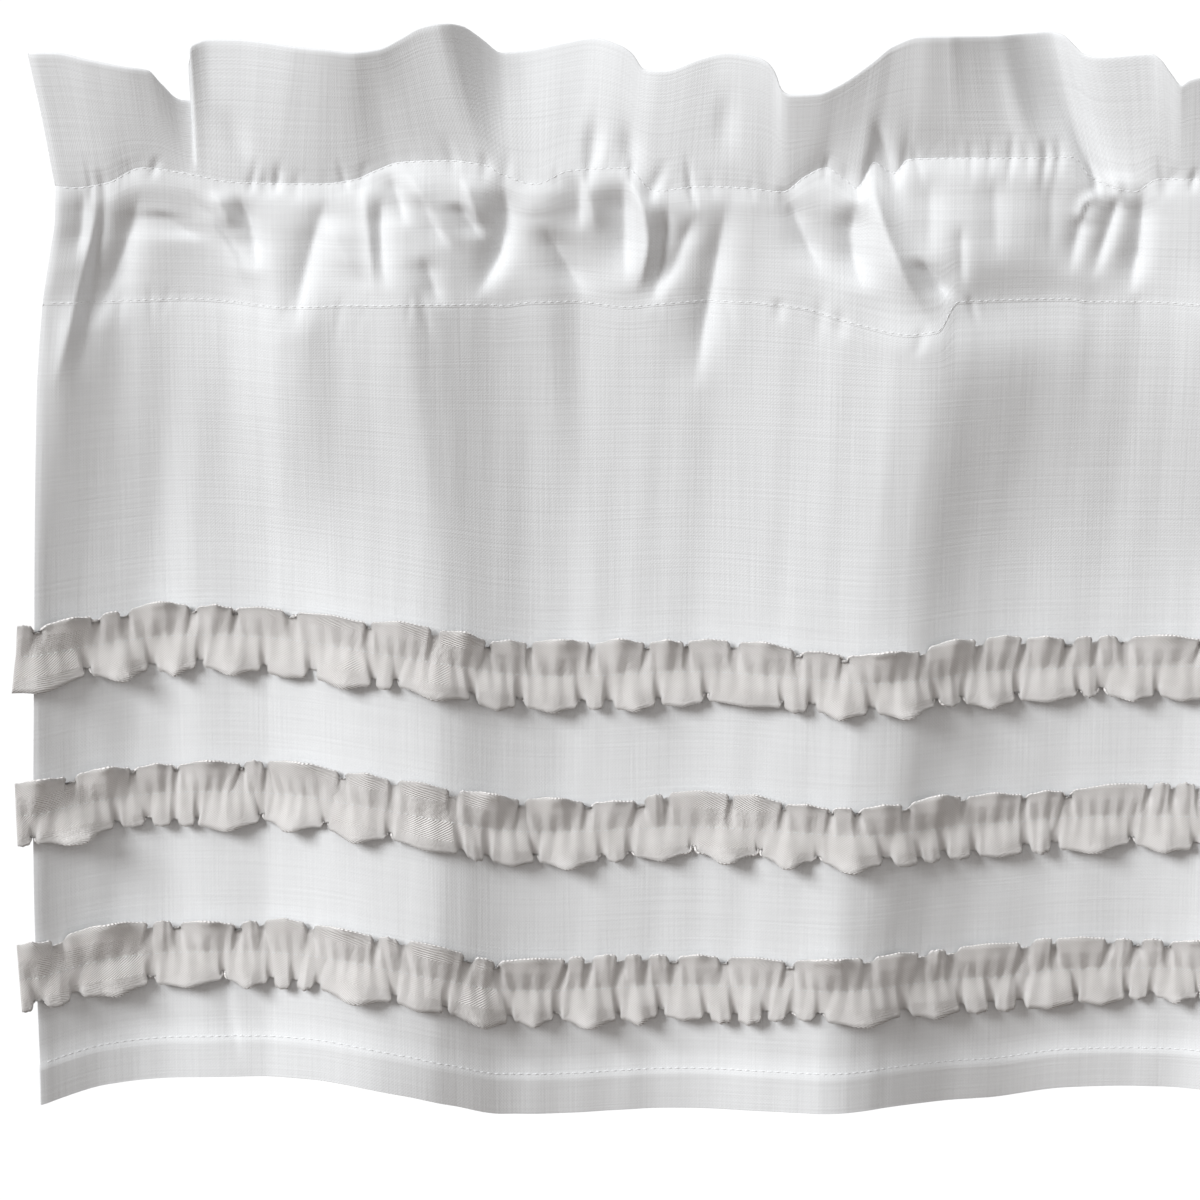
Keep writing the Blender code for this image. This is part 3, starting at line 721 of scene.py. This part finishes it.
def skirt_point(across, down):
    """The skirt's front face at one level."""
    place, side = left_half(across)
    strength = np.where(side > 0, 1.0, RIGHT_STRENGTH + (1.0 - RIGHT_STRENGTH) * place / (WIDTH / 2))
    lower = line_stray(place, down)
    depth = strength * (fold_depth(place, down) + pucker_depth(place, down + lower))
    bulge = np.clip((FOOT_BULGE_END - down) / (FOOT_BULGE_END - POCKET_FOOT), 0.0, 1.0)
    depth += FOOT_BULGE * bulge ** 2
    back = smooth(place, HEM_LEAN[:, 0], HEM_LEAN[:, 1])
    back = back * np.clip((down - HEM_LEAN_FROM) / (DROP - HEM_LEAN_FROM), 0.0, 1.0) ** 2
    depth -= back + SKIRT_BEHIND * np.clip((BEHIND_END - down) / (BEHIND_END - SKIRT_TOP), 0.0, 1.0)
    depth += tuck_depth(across, down) + wave_depth(across, down) - end_roll(across)
    at_middle, at_hem = (smooth(place, SAG[:, 0], SAG[:, column]) for column in (1, 2))
    if down < GATHERS_END:
        sag = at_middle * ease((down - POCKET_FOOT) / (GATHERS_END - POCKET_FOOT))
    else:
        sag = at_middle + (at_hem - at_middle) * (down - GATHERS_END) / (DROP - GATHERS_END)
    return across + side * drawn_in(place, down), depth, -down - sag - lower - HEM_LEAN_DROP * back


def to_world(point):
    """Metres in the part's frame, from across, forward and height."""
    across, forward, height = point
    return np.stack((across - WIDTH / 2, -forward, height), axis=-1) * MM


def cloth_columns():
    """Places across the cloth, closer together where the photograph shows it."""
    fine = np.arange(FINE_COLUMN, SHOWN_TO, FINE_COLUMN)
    coarse = np.linspace(SHOWN_TO, WIDTH - EDGE_ROW, int((WIDTH - SHOWN_TO) / COARSE_COLUMN))
    return np.concatenate(((0.0, EDGE_ROW), fine, coarse, (WIDTH,)))


ACROSS = cloth_columns()


def along_cloth():
    """Distance along the cloth itself at each column, measured on the skirt's folds."""
    level = to_world(skirt_point(ACROSS, GATHERS_END))[:, :2]
    steps = np.linalg.norm(np.diff(level, axis=0), axis=1)
    return np.concatenate(((0.0,), np.cumsum(steps)))


ALONG = along_cloth()


def grid_object(name, rows, lengthwise, crosswise):
    """A sheet through rows that run down its front, with the distances along and down it as its UV."""
    points = np.array(rows)
    count, width = points.shape[:2]
    first = (np.arange(count - 1)[:, None] * width + np.arange(width - 1)[None, :]).reshape(-1)
    faces = np.stack((first, first + width, first + width + 1, first + 1), axis=-1)
    mesh = bpy.data.meshes.new(name)
    mesh.from_pydata(points.reshape(-1, 3).tolist(), [], faces.tolist())
    weave = mesh.uv_layers.new(name="weave")
    flat = np.stack(np.broadcast_arrays(lengthwise, crosswise), axis=-1).reshape(-1, 2)
    corners = np.empty(len(mesh.loops), dtype=np.int32)
    mesh.loops.foreach_get("vertex_index", corners)
    weave.data.foreach_set("uv", flat[corners].reshape(-1))
    mesh.shade_smooth()
    made = bpy.data.objects.new(name, mesh)
    bpy.context.scene.collection.objects.link(made)
    return made


def thicken(piece, thickness, group=None, least=1.0):
    """Gives the sheet its thickness, behind its shown face."""
    solid = piece.modifiers.new("cloth", "SOLIDIFY")
    solid.thickness = thickness * MM
    solid.offset = -1.0
    if group:
        solid.vertex_group = group
        solid.thickness_vertex_group = least


def down_the_cloth(rows):
    """Distance down the cloth at each row, measured along its middle column."""
    middle = np.array(rows)[:, len(rows[0]) // 2]
    steps = np.linalg.norm(np.diff(middle, axis=0), axis=1)
    return np.concatenate(((0.0,), np.cumsum(steps)))[:, None]


def add_header():
    """The ruffle above the seam: back layer, fold at the top edge, and front layer."""
    levels = (SEAM, *np.linspace(SEAM - EDGE_ROW, 0.0, HEADER_ROWS))
    front = [to_world(header_point(ACROSS, down)) for down in levels]
    behind = np.array((0.0, LAYER_GAP * MM, 0.0))
    above = np.array((0.0, 0.0, LAYER_GAP * MM / 2))
    fold = []
    for angle in np.radians((45.0, 90.0, 135.0)):
        fold.append(front[-1] + behind * (1.0 - math.cos(angle)) / 2 + above * math.sin(angle))
    back = [row + behind for row in front[::-2]]
    back[-1] = front[0] + behind
    rows = (front + fold + back)[::-1]
    return grid_object("valance_header", rows, ALONG, down_the_cloth(rows))


def add_pocket():
    """The rod pocket: front layer, turn at its foot, and back layer."""
    levels = (SEAM, *np.linspace(SEAM + EDGE_ROW, POCKET_FOOT - EDGE_ROW, FRONT_ROWS), POCKET_FOOT)
    front = [to_world(pocket_point(ACROSS, down, POCKET_FRONT)) for down in levels]
    levels = np.linspace(POCKET_FOOT, SEAM, BACK_ROWS)
    back = [to_world(pocket_point(ACROSS, down, POCKET_BACK)) for down in levels]
    turn = (front[-1] + back[0]) / 2 - np.array((0.0, 0.0, POCKET_TURN_DROP * MM))
    rows = front + [turn] + back
    return grid_object("valance_pocket", rows, ALONG, down_the_cloth(rows))


def skirt_levels():
    """The skirt's rows, close together under the pocket and at the hem."""
    return np.concatenate((
        (SKIRT_TOP,),
        np.linspace(SKIRT_TOP + EDGE_ROW, CLOSE_ROWS_END, GATHER_ROWS),
        np.linspace(CLOSE_ROWS_END, HEM_STITCH, SKIRT_ROWS)[1:],
        HEM_ROWS,
        (DROP - EDGE_ROW, DROP),
    ))


def add_skirt():
    """The skirt with its turned hem, which stands a little proud below the stitches."""
    rows = []
    levels = skirt_levels()
    for down in levels:
        across, forward, height = skirt_point(ACROSS, down)
        forward = forward + HEM_PROUD * (down > HEM_STITCH) - STITCH_PULL * (down == HEM_STITCH)
        rows.append(to_world((across, forward, height)))
    skirt = grid_object("valance_skirt", rows, ALONG, down_the_cloth(rows))
    hem = skirt.vertex_groups.new(name="hem")
    start = int(np.sum(levels <= HEM_STITCH)) * len(ACROSS)
    hem.add(list(range(start, len(skirt.data.vertices))), 1.0, "REPLACE")
    return skirt


def drift(values, reach):
    """The slow part of the values: a weighted mean over about this many steps each way."""
    half = int(3 * reach)
    weights = np.exp(-0.5 * (np.arange(-half, half + 1) / reach) ** 2)
    padded = np.concatenate((np.full(half, values[0]), values, np.full(half, values[-1])))
    return np.convolve(padded, weights / weights.sum(), mode="valid")


def free_edge(chance, steps):
    """A ruffle's free edge at places along the tape: slow and quick stray, reach outwards, and turn."""
    places, swings = [0.0], []
    while places[-1] < TAPE_LENGTH + 40.0:
        lobe = chance.uniform(*(NARROW_LOBE if chance.random() < NARROW_SHARE else BROAD_LOBE))
        fold, turn = chance.uniform(*FOLD_RUN), chance.uniform(*FOLD_TURN)
        for run, swing in ((lobe, (chance.uniform(*LOBE_TURN), 0.0)), (fold, (0.0, -turn)),
                           (fold * chance.uniform(*FOLD_UNEVEN), (0.0, turn))):
            places.append(places[-1] + run)
            swings.append(swing)
    fine = np.arange(0.0, TAPE_LENGTH + RUFFLE_STEP, RUFFLE_STEP)
    wave = np.searchsorted(places, fine, side="right") - 1
    share = (fine - np.array(places)[wave]) / np.diff(places)[wave]
    domed, folded = np.array(swings)[wave].T
    heading = domed * np.sin(TURN * share) + folded * np.sin(np.pi * share) ** FOLD_ROUND
    along = np.cumsum(np.cos(heading)) * RUFFLE_STEP
    along -= np.linspace(along[0], along[-1], len(along))
    out = np.cumsum(np.sin(heading)) * RUFFLE_STEP
    slow = drift(along, QUICK_STRAY / RUFFLE_STEP)
    spread = slow - drift(slow, SLOW_STRAY / RUFFLE_STEP)
    out = out - drift(out, OUT_DRIFT / RUFFLE_STEP)
    turned = np.abs(np.sin(heading / 2.0))
    return [np.interp(steps, fine, values) for values in (spread, along - slow, out, turned)]


def skirt_seat(centre):
    """A function for points on the skirt: place across, distance below the line, distance out."""
    base = np.linspace(0.0, WIDTH, 2000)
    half = TAPE_WIDTH / 2
    above, middle, below = (np.stack(skirt_point(base, centre + side * half), axis=-1)
                            for side in (-1, 0, 1))
    run = np.gradient(middle[:, :2], axis=0)
    run /= np.linalg.norm(run, axis=1)[:, None]
    outward = np.stack((-run[:, 1], run[:, 0]), axis=-1)

    def seat(at, offset, out):
        inside = np.clip(at, 0.0, WIDTH)

        def pick(table):
            return np.stack([np.interp(inside, base, column) for column in table.T], axis=-1)

        point = pick(middle)
        lower = (offset / half)[:, None]
        point = point + np.where(lower > 0.0, pick(below) - point, point - pick(above)) * lower
        point[:, :2] += pick(run) * (at - inside)[:, None] + pick(outward) * out[:, None]
        return to_world(point.T)

    return seat


def tape_steps():
    """Places along the tape, closer together where the photograph shows it."""
    shown = SHOWN_TO / TAPE_GATHER
    return np.concatenate((
        np.arange(0.0, shown, FINE_TAPE_STEP),
        np.linspace(shown, TAPE_LENGTH, int((TAPE_LENGTH - shown) / COARSE_TAPE_STEP)),
    ))


def flounce_rows(chance, seat, steps, knots, line, sewn, gather, side, edge):
    """Rows of one flounce from the stitches to its free edge: distance from the stitches, and points."""
    stray, out, turned = edge[1:]
    lean = UPPER_LEAN if side < 0.0 else LOWER_LEAN
    crest = np.clip((out - CREST_FROM) / CREST_FROM, 0.0, 1.0)
    hollow = ease(0.5 - out / (2.0 * OUT_LIMIT))
    edge_out = OUT_LIMIT * np.tanh(out / OUT_LIMIT) + lean
    shrink = np.interp(steps, knots / 2.0, chance.uniform(*EDGE_SHRINK, len(knots)))
    drawn_up = shrink + HOLLOW_LIFT * hollow + FOLD_LIFT * turned
    flounce = []
    for course in range(1, TAPE_COURSES + 1):
        share = course / TAPE_COURSES
        length = share * TAPE_WIDTH / 2
        lift = sewn + (edge_out - sewn) * share ** LIFT_ROUND
        lift += 2.0 * SEWN_GATHER * gather * share * (1.0 - share) ** 2
        lift = np.maximum(lift + EDGE_FLIP * crest * share ** FLIP_SHARPNESS, TAPE_THICK + LEAST_CLEAR)
        strayed = stray * share ** STRAY_ROUND
        moved = np.hypot(strayed, lift - sewn)
        reach = np.sqrt(np.maximum(length ** 2 - moved ** 2, (LEAST_REACH * length) ** 2))
        reach *= 1.0 - drawn_up * share ** 2
        flounce.append((side * length, seat(line + strayed, side * reach, lift)))
    return flounce


def add_tape(row, seed):
    """One ruffled tape, sewn along its middle to the skirt, and its stitches."""
    chance = np.random.default_rng(seed)
    seat = skirt_seat(TAPE_ROWS[row])
    steps = tape_steps()
    knots = np.arange(0.0, TAPE_LENGTH + UNEVEN_PITCH, UNEVEN_PITCH)
    pitch = np.interp(steps, knots, chance.uniform(*GATHER_PITCH, len(knots)))
    gather = np.sin(TURN * np.cumsum(np.diff(steps, prepend=0.0) / pitch))
    sewn = SEWN_LIFT + SEWN_GATHER * gather
    edges = [free_edge(chance, steps) for side in (-1.0, 1.0)]
    line = steps * TAPE_GATHER - TAPE_OVERHANG + (edges[0][0] + edges[1][0]) / 2
    courses = [(0.0, seat(line, 0.0 * steps, sewn))]
    for side, edge in zip((-1.0, 1.0), edges):
        courses += flounce_rows(chance, seat, steps, knots, line, sewn, gather, side, edge)
    courses.sort(key=lambda course: course[0])
    distances = np.array([offset for offset, points in courses])[:, None] * MM
    name = row.split("_")[1]
    piece = grid_object("tape_" + name, [points for offset, points in courses], steps * MM, distances)
    return piece, add_stitches("stitches_" + name, [seat(line, 0.0 * steps, sewn + THREAD_LIFT)])


def add_stitches(name, lines):
    """Stitches along lines of points: short dashes of thread, thicker in their middle."""
    ring = np.array(STITCH_RING) * THREAD_RADIUS * MM
    sides = len(ring)
    points, faces = [], []
    for line in lines:
        run = np.concatenate(((0.0,), np.cumsum(np.linalg.norm(np.diff(line, axis=0), axis=1))))
        for start in np.arange(STITCH_PITCH, run[-1] / MM - STITCH_PITCH, STITCH_PITCH) * MM:
            first = len(points)
            for share, thick in STITCH_SECTIONS:
                at = start + share * STITCH_LENGTH * MM
                centre = np.array([np.interp(at, run, line[:, axis]) for axis in range(3)])
                points += [centre + thick * np.array((0.0, out, up)) for out, up in ring]
            last = len(points) - sides
            for section in range(first, last, sides):
                for side in range(sides):
                    here, after = section + side, section + (side + 1) % sides
                    faces.append((here, here + sides, after + sides, after))
            faces.append(tuple(range(first, first + sides)))
            faces.append(tuple(range(last + sides - 1, last - 1, -1)))
    mesh = bpy.data.meshes.new(name)
    mesh.from_pydata([tuple(point) for point in points], [], faces)
    mesh.shade_smooth()
    made = bpy.data.objects.new(name, mesh)
    bpy.context.scene.collection.objects.link(made)
    return made


def cloth_line(point):
    """Points for a row of stitches that stands out from one level of the cloth."""
    across, forward, height = point
    return to_world((across, forward + THREAD_LIFT, height))


def nodes_of(name):
    """A new material with its shader, links, and a function that adds a node."""
    made = bpy.data.materials.new(name)
    made.use_nodes = True
    tree = made.node_tree
    shader = tree.nodes["Principled BSDF"]

    def add(kind, **values):
        node = tree.nodes.new("ShaderNode" + kind)
        for key, value in values.items():
            if hasattr(node, key):
                setattr(node, key, value)
            else:
                node.inputs[key].default_value = value
        return node

    def link(source, target):
        tree.links.new(source, target)
    return made, shader, add, link


def streaks(add, link, coordinates, scale, detail):
    """A noise stretched by a three-way scale."""
    mapping = add("Mapping")
    mapping.inputs["Scale"].default_value = scale
    link(coordinates, mapping.inputs["Vector"])
    noise = add("TexNoise", Scale=1.0, Detail=detail, Roughness=0.55)
    link(mapping.outputs["Vector"], noise.inputs["Vector"])
    return noise.outputs["Fac"]


def combine(add, link, operation, *values):
    """A math node on sockets or numbers."""
    node = add("Math", operation=operation)
    for index, value in enumerate(values):
        if isinstance(value, (int, float)):
            node.inputs[index].default_value = value
        else:
            link(value, node.inputs[index])
    return node.outputs[0]


def emboss(add, link, shader, height, strength, distance):
    """Raises the surface by a bump."""
    bump = add("Bump", Strength=strength, Distance=distance)
    link(height, bump.inputs["Height"])
    link(bump.outputs["Normal"], shader.inputs["Normal"])


def paint(add, link, shader, value, darker, lighter):
    """Colours the surface between two tones, each given with the value that it stands for."""
    ramp = add("ValToRGB")
    for element, (position, colour) in zip(ramp.color_ramp.elements, (darker, lighter)):
        element.position = position
        element.color = colour
    link(value, ramp.inputs["Fac"])
    link(ramp.outputs["Color"], shader.inputs["Base Color"])


def cloth_material():
    """White plain weave with uneven threads both ways."""
    made, shader, add, link = nodes_of("cloth")
    place = add("UVMap", uv_map="weave").outputs["UV"]
    warp = streaks(add, link, place, WARP_STREAKS, 2.0)
    weft = streaks(add, link, place, WEFT_STREAKS, 2.0)
    tone = streaks(add, link, place, CLOTH_PATCHES, 3.0)
    split = add("SeparateXYZ")
    link(place, split.inputs[0])
    threads = []
    for axis, pitch in enumerate(THREAD_PITCHES):
        turn = combine(add, link, "MULTIPLY", split.outputs[axis], TURN / 2 / pitch)
        threads.append(combine(add, link, "SINE", turn))
    weave = combine(add, link, "MULTIPLY", *threads)
    slub = combine(add, link, "ADD", warp, weft)
    relief = combine(add, link, "MULTIPLY", weave, WEAVE_RELIEF)
    emboss(add, link, shader, combine(add, link, "ADD", relief, slub), 0.30, 0.0004)
    shade = combine(add, link, "MULTIPLY", slub, SLUB_SHADE)
    mixed = combine(add, link, "MULTIPLY_ADD", tone, PATCH_SHADE, shade)
    paint(add, link, shader, mixed, CLOTH_DARKER, CLOTH_LIGHTER)
    shader.inputs["Roughness"].default_value = 0.92
    shader.inputs["Specular IOR Level"].default_value = 0.25
    shader.inputs["Sheen Weight"].default_value = 0.12
    shader.inputs["Sheen Roughness"].default_value = 0.5
    return made


def tape_material():
    """Warm white twill whose ribs change direction in stripes along the tape."""
    made, shader, add, link = nodes_of("tape")
    place = add("UVMap", uv_map="weave").outputs["UV"]
    split = add("SeparateXYZ")
    link(place, split.inputs[0])
    stripe = combine(add, link, "PINGPONG", split.outputs[1], STRIPE)
    slanted = combine(add, link, "MULTIPLY_ADD", stripe, RIB_SLANT, split.outputs[0])
    rib = combine(add, link, "SINE", combine(add, link, "MULTIPLY", slanted, TURN / RIB_PITCH))
    thread = streaks(add, link, place, TAPE_THREADS, 2.0)
    tone = streaks(add, link, place, TAPE_PATCHES, 3.0)
    emboss(add, link, shader, combine(add, link, "MULTIPLY_ADD", rib, RIB_RELIEF, thread), 0.75, 0.0007)
    shade = combine(add, link, "MULTIPLY_ADD", rib, RIB_SHADE, tone)
    paint(add, link, shader, shade, TAPE_DARKER, TAPE_LIGHTER)
    shader.inputs["Roughness"].default_value = 0.88
    shader.inputs["Specular IOR Level"].default_value = 0.3
    shader.inputs["Sheen Weight"].default_value = 0.15
    return made


def plain_material(name, colour, roughness):
    """A plain material for the floor or the thread."""
    made, shader = nodes_of(name)[:2]
    shader.inputs["Base Color"].default_value = colour
    shader.inputs["Roughness"].default_value = roughness
    return made


def add_floor():
    """A pale floor that reaches past every view."""
    sides = ((-1, -1), (1, -1), (1, 1), (-1, 1))
    corners = [(FLOOR_REACH * x, FLOOR_REACH * y, FLOOR_LEVEL) for x, y in sides]
    mesh = bpy.data.meshes.new("floor")
    mesh.from_pydata(corners, [], [(0, 1, 2, 3)])
    floor = bpy.data.objects.new("floor", mesh)
    mesh.materials.append(plain_material("floor", FLOOR_COLOUR, 0.9))
    floor.visible_diffuse = False
    bpy.context.scene.collection.objects.link(floor)


def add_sky():
    """A pale sky that darkens downwards."""
    world = bpy.data.worlds.new("sky")
    world.use_nodes = True
    tree = world.node_tree
    direction = tree.nodes.new("ShaderNodeTexCoord")
    split = tree.nodes.new("ShaderNodeSeparateXYZ")
    height = tree.nodes.new("ShaderNodeMapRange")
    height.inputs["From Min"].default_value, height.inputs["From Max"].default_value = SKY_MIX
    ramp = tree.nodes.new("ShaderNodeValToRGB")
    ramp.color_ramp.elements[0].color = SKY_BELOW
    ramp.color_ramp.elements[1].color = SKY_ABOVE
    tree.links.new(direction.outputs["Generated"], split.inputs[0])
    tree.links.new(split.outputs["Z"], height.inputs["Value"])
    tree.links.new(height.outputs["Result"], ramp.inputs["Fac"])
    tree.links.new(ramp.outputs["Color"], tree.nodes["Background"].inputs["Color"])
    bpy.context.scene.world = world


def add_sun():
    """A soft sun from the upper left in front."""
    lamp = bpy.data.lights.new("sun", "SUN")
    lamp.energy = SUN
    lamp.angle = math.radians(SUN_SOFTNESS)
    lamp.color = SUN_COLOUR
    sun = bpy.data.objects.new("sun", lamp)
    sun.rotation_euler = Vector(SUN_TOWARDS).to_track_quat("-Z", "Y").to_euler()
    bpy.context.scene.collection.objects.link(sun)


def add_camera():
    """The camera at the photograph's angle and framing."""
    elevation = math.radians(ELEVATION)
    target = Vector((-WIDTH / 2 * MM + AIM_ACROSS, 0.0, -AIM_DOWN))
    lens = bpy.data.cameras.new("camera")
    lens.sensor_width = SENSOR
    lens.lens = SENSOR * DISTANCE / FRAME_WIDTH
    camera = bpy.data.objects.new("camera", lens)
    camera.location = target + Vector((0.0, -math.cos(elevation), math.sin(elevation))) * DISTANCE
    camera.rotation_euler = (math.pi / 2 - elevation, 0.0, 0.0)
    bpy.context.scene.collection.objects.link(camera)
    bpy.context.scene.camera = camera


def place_piece(piece, material, node=None):
    """Colours a piece, fixes it to the valance and hides the solid that it stands for, if any."""
    piece.data.materials.append(material)
    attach(piece, "root")
    if node:
        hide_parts(node)


def dress_cloth():
    """Header, pocket and skirt with their stitches."""
    cloth = cloth_material()
    thread = plain_material("thread", THREAD_COLOUR, 0.7)
    header, pocket, skirt = add_header(), add_pocket(), add_skirt()
    seams = add_stitches("stitches_pocket", [
        cloth_line(pocket_point(ACROSS, down, POCKET_FRONT)) for down in (SEAM_STITCH, FOOT_STITCH)])
    hem = add_stitches("stitches_hem", [cloth_line(skirt_point(ACROSS, HEM_STITCH))])
    thicken(header, CLOTH)
    thicken(pocket, CLOTH)
    thicken(skirt, HEM_CLOTH, "hem", CLOTH / HEM_CLOTH)
    place_piece(seams, thread)
    place_piece(hem, thread)
    place_piece(header, cloth, "heading")
    place_piece(pocket, cloth, "heading")
    place_piece(skirt, cloth, "panel")
    return thread


def dress_tapes(thread):
    """The three ruffled tapes with their stitches."""
    tape = tape_material()
    for order, row in enumerate(TAPE_ROWS):
        piece, stitches = add_tape(row, TAPE_SEED + order)
        place_piece(stitches, thread)
        thicken(piece, TAPE_THICK)
        place_piece(piece, tape, row)


def main():
    """Dresses the frame, lights it and looks at it."""
    dress_tapes(dress_cloth())
    add_floor()
    add_sky()
    add_sun()
    add_camera()
    bpy.context.scene.view_settings.view_transform = "Standard"


main()
